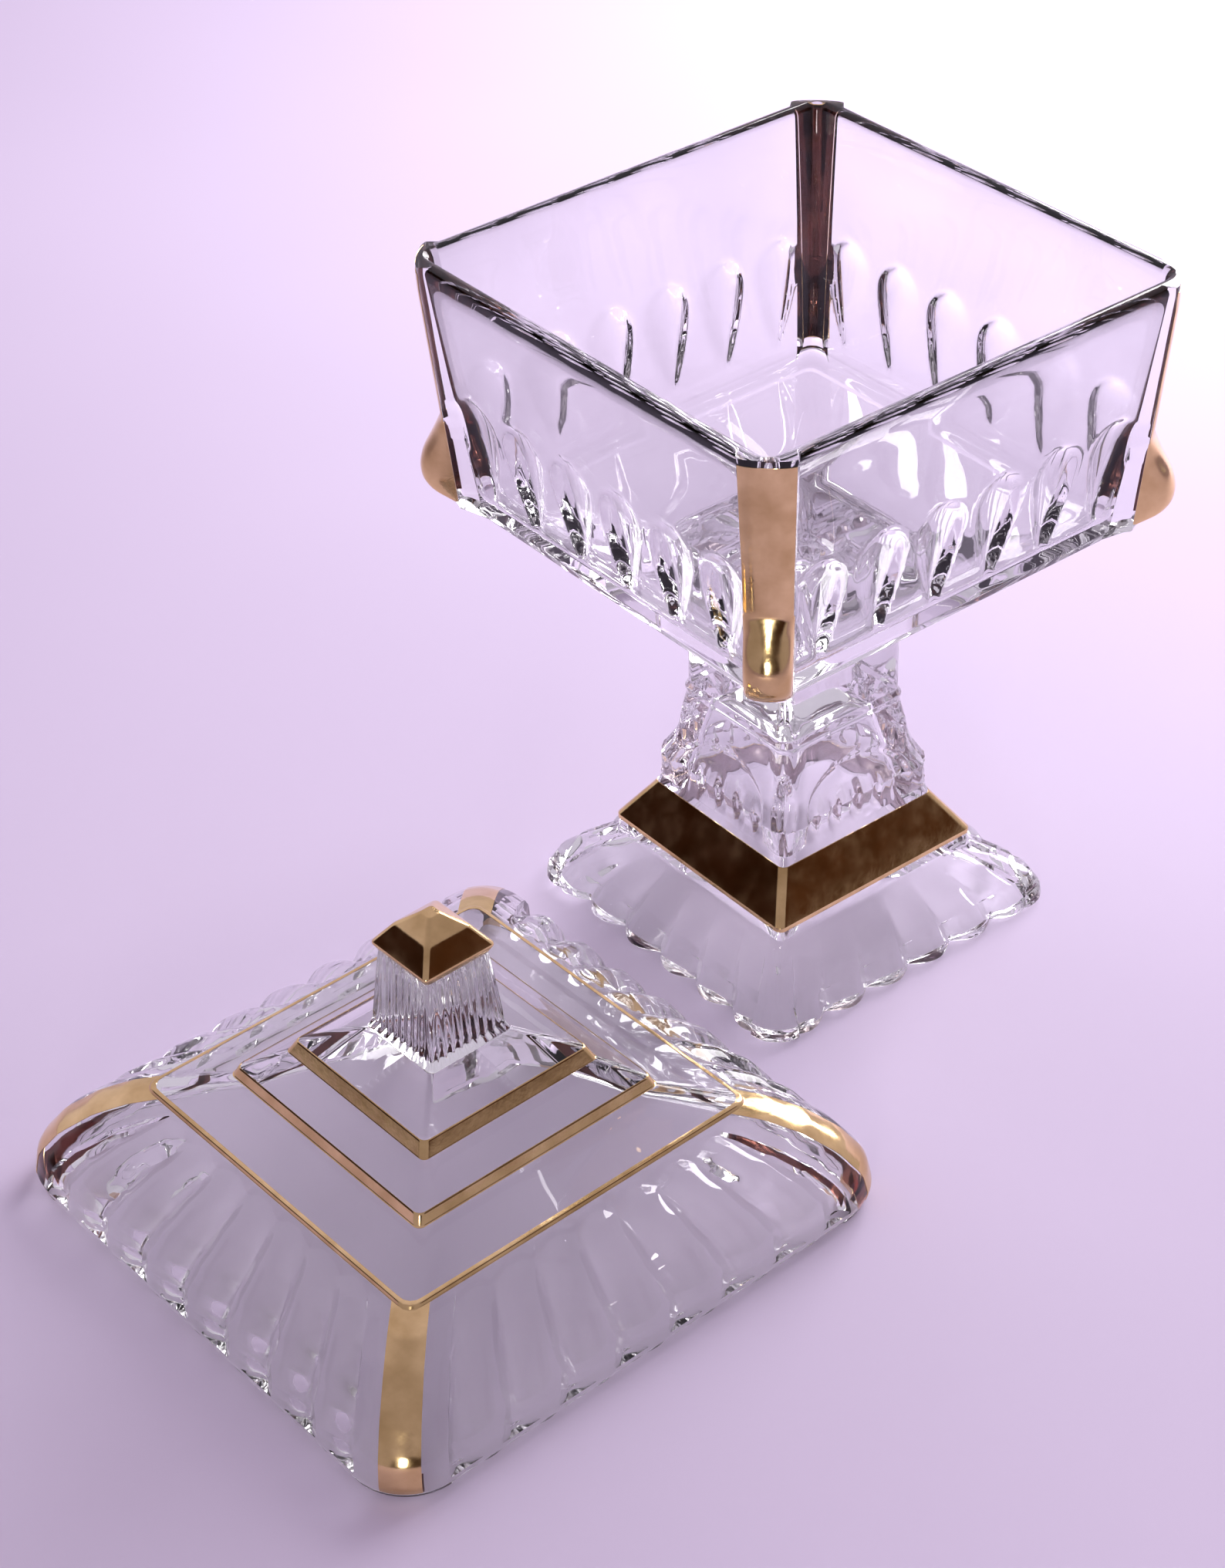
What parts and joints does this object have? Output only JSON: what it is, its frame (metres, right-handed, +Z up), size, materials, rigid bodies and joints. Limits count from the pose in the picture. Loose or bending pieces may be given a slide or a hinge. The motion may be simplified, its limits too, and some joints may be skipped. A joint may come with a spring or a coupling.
{
  "type": "covered glass box",
  "caption": "Square covered box of clear pressed glass on a stemmed square foot, with fired gold trim and a loose stepped lid with a finial.",
  "frame": {"origin": "middle of the foot's underside, on the surface the box stands on", "axes": "+Z up; the bowl's and the foot's sides are square to X and Y; the lid lies right way up towards -Y"},
  "size_m": [0.1459, 0.2307, 0.15],
  "materials": {
    "clear_glass": "polished pressed glass, colourless with a faint grey-green edge",
    "fired_gold": "bright fired gold, worn a little at the edges"
  },
  "bodies": {
    "base": {"bowl_glass": "clear_glass", "pedestal_glass": "clear_glass", "foot_band_gilding": "fired_gold", "bowl_gilding_front": "fired_gold", "bowl_gilding_right": "fired_gold", "bowl_gilding_back": "fired_gold", "bowl_gilding_left": "fired_gold"},
    "lid": {"lid_glass": "clear_glass", "lid_finial": "clear_glass", "finial_cap_gilding": "fired_gold", "lid_line_gilding": "fired_gold", "lid_lower_step_gilding": "fired_gold", "lid_upper_step_gilding": "fired_gold", "lid_gilding_front": "fired_gold", "lid_gilding_right": "fired_gold", "lid_gilding_back": "fired_gold", "lid_gilding_left": "fired_gold"}
  },
  "joints": [
    {"name": "lid_lift", "type": "slide", "parent": "base", "child": "lid", "axis": [0, -0.1191, 0.9929], "range_m": [0, 0.18]}
  ]
}
